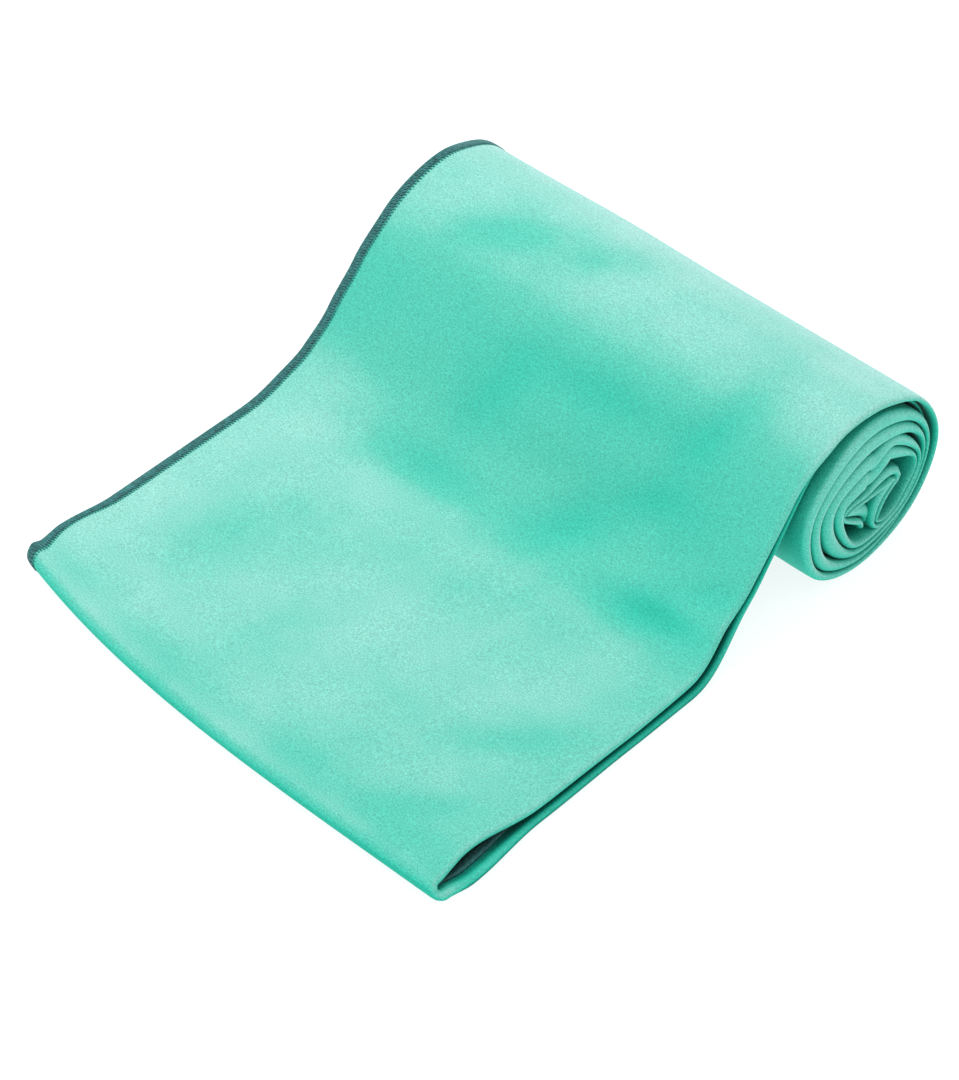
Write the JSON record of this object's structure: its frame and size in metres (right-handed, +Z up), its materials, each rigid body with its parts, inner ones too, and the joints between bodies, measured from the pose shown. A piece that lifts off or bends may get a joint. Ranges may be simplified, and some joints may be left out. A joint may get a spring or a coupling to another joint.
{
  "type": "quick dry towel",
  "caption": "Thin napped travel towel, folded in three and then in half, and rolled up with its front end left lying flat.",
  "frame": {"origin": "on the underside of the flat panel, in the middle of the strip and of that panel", "axes": "+X along the roll, from the strip's overlocked edge to its soft fold; +Y from the front fold towards the roll; +Z up"},
  "size_m": [0.254, 0.3103, 0.09],
  "materials": {
    "cloth": "matte",
    "thread": "satin"
  },
  "bodies": {
    "flat": {"flat_upper_leaf": "cloth", "flat_lower_leaf": "cloth", "flat_edging": "thread"},
    "front": {"front_upper_leaf": "cloth", "front_lower_leaf": "cloth", "front_fold": "cloth", "front_edging": "thread", "front_fold_edging": "thread"},
    "foot": {"foot_upper_leaf": "cloth", "foot_lower_leaf": "cloth", "foot_edging": "thread"},
    "instep": {"instep_upper_leaf": "cloth", "instep_lower_leaf": "cloth", "instep_edging": "thread"},
    "slope": {"slope_upper_leaf": "cloth", "slope_lower_leaf": "cloth", "slope_edging": "thread"},
    "shoulder": {"shoulder_upper_leaf": "cloth", "shoulder_lower_leaf": "cloth", "shoulder_edging": "thread"},
    "crest": {"crest_upper_leaf": "cloth", "crest_lower_leaf": "cloth", "crest_edging": "thread"},
    "turn_1": {"turn_1_upper_leaf": "cloth", "turn_1_lower_leaf": "cloth", "turn_1_edging": "thread"},
    "turn_2": {"turn_2_upper_leaf": "cloth", "turn_2_lower_leaf": "cloth", "turn_2_edging": "thread"},
    "turn_3": {"turn_3_upper_leaf": "cloth", "turn_3_lower_leaf": "cloth", "turn_3_edging": "thread"},
    "turn_4": {"turn_4_upper_leaf": "cloth", "turn_4_lower_leaf": "cloth", "turn_4_edging": "thread"},
    "turn_5": {"turn_5_upper_leaf": "cloth", "turn_5_lower_leaf": "cloth", "turn_5_edging": "thread"},
    "turn_6": {"turn_6_upper_leaf": "cloth", "turn_6_lower_leaf": "cloth", "turn_6_edging": "thread"},
    "turn_7": {"turn_7_upper_leaf": "cloth", "turn_7_lower_leaf": "cloth", "turn_7_edging": "thread"},
    "turn_8": {"turn_8_upper_leaf": "cloth", "turn_8_lower_leaf": "cloth", "turn_8_edging": "thread"},
    "core": {"core_upper_leaf": "cloth", "core_lower_leaf": "cloth", "core_edging": "thread", "end_edging": "thread"}
  },
  "joints": [
    {"name": "front_turn_back", "type": "hinge", "parent": "flat", "child": "front", "pos_m": [0, -0.03, 0.009], "axis": [-1, 0, 0], "range_deg": [0, 150]},
    {"name": "unroll", "type": "hinge", "parent": "flat", "child": "foot", "pos_m": [0, 0.03, 0], "axis": [-1, 0, 0], "range_deg": [0, 13.75]},
    {"name": "instep_bend", "type": "hinge", "parent": "foot", "child": "instep", "pos_m": [0, 0.05978, 0.00729], "axis": [-1, 0, 0], "range_deg": [0, 27.5]},
    {"name": "slope_bend", "type": "hinge", "parent": "instep", "child": "slope", "pos_m": [0, 0.08284, 0.0275], "axis": [-1, 0, 0], "range_deg": [0, 13.75]},
    {"name": "shoulder_bend", "type": "hinge", "parent": "slope", "child": "shoulder", "pos_m": [0, 0.10131, 0.06958], "axis": [1, 0, 0], "range_deg": [0, 13.75]},
    {"name": "crest_bend", "type": "hinge", "parent": "shoulder", "child": "crest", "pos_m": [0, 0.11842, 0.08459], "axis": [1, 0, 0], "range_deg": [0, 27.5]},
    {"name": "turn_1_bend", "type": "hinge", "parent": "crest", "child": "turn_1", "pos_m": [0, 0.14053, 0.09], "axis": [1, 0, 0], "range_deg": [0, 36.25]},
    {"name": "turn_2_bend", "type": "hinge", "parent": "turn_1", "child": "turn_2", "pos_m": [0, 0.17388, 0.07619], "axis": [1, 0, 0], "range_deg": [0, 45]},
    {"name": "turn_3_bend", "type": "hinge", "parent": "turn_2", "child": "turn_3", "pos_m": [0, 0.18727, 0.04386], "axis": [1, 0, 0], "range_deg": [0, 45]},
    {"name": "turn_4_bend", "type": "hinge", "parent": "turn_3", "child": "turn_4", "pos_m": [0, 0.1743, 0.01255], "axis": [1, 0, 0], "range_deg": [0, 63.5]},
    {"name": "turn_5_bend", "type": "hinge", "parent": "turn_4", "child": "turn_5", "pos_m": [0, 0.144, 0], "axis": [1, 0, 0], "range_deg": [0, 64.7]},
    {"name": "turn_6_bend", "type": "hinge", "parent": "turn_5", "child": "turn_6", "pos_m": [0, 0.11472, 0.01213], "axis": [1, 0, 0], "range_deg": [0, 45]},
    {"name": "turn_7_bend", "type": "hinge", "parent": "turn_6", "child": "turn_7", "pos_m": [0, 0.10302, 0.04039], "axis": [1, 0, 0], "range_deg": [0, 25.3]},
    {"name": "turn_8_bend", "type": "hinge", "parent": "turn_7", "child": "turn_8", "pos_m": [0, 0.1143, 0.06764], "axis": [1, 0, 0], "range_deg": [0, 26.5]},
    {"name": "core_bend", "type": "hinge", "parent": "turn_8", "child": "core", "pos_m": [0, 0.14053, 0.0785], "axis": [1, 0, 0], "range_deg": [0, 22.5]}
  ],
  "couplings": [
    {"joint": "instep_bend", "follows": "unroll", "ratio": 2},
    {"joint": "slope_bend", "follows": "unroll", "ratio": 1},
    {"joint": "shoulder_bend", "follows": "unroll", "ratio": 1},
    {"joint": "crest_bend", "follows": "unroll", "ratio": 2},
    {"joint": "turn_1_bend", "follows": "unroll", "ratio": 2.6364},
    {"joint": "turn_2_bend", "follows": "unroll", "ratio": 3.2727},
    {"joint": "turn_3_bend", "follows": "unroll", "ratio": 3.2727},
    {"joint": "turn_4_bend", "follows": "unroll", "ratio": 4.6182},
    {"joint": "turn_5_bend", "follows": "unroll", "ratio": 4.7055},
    {"joint": "turn_6_bend", "follows": "unroll", "ratio": 3.2727},
    {"joint": "turn_7_bend", "follows": "unroll", "ratio": 1.84},
    {"joint": "turn_8_bend", "follows": "unroll", "ratio": 1.9273},
    {"joint": "core_bend", "follows": "unroll", "ratio": 1.6364}
  ]
}
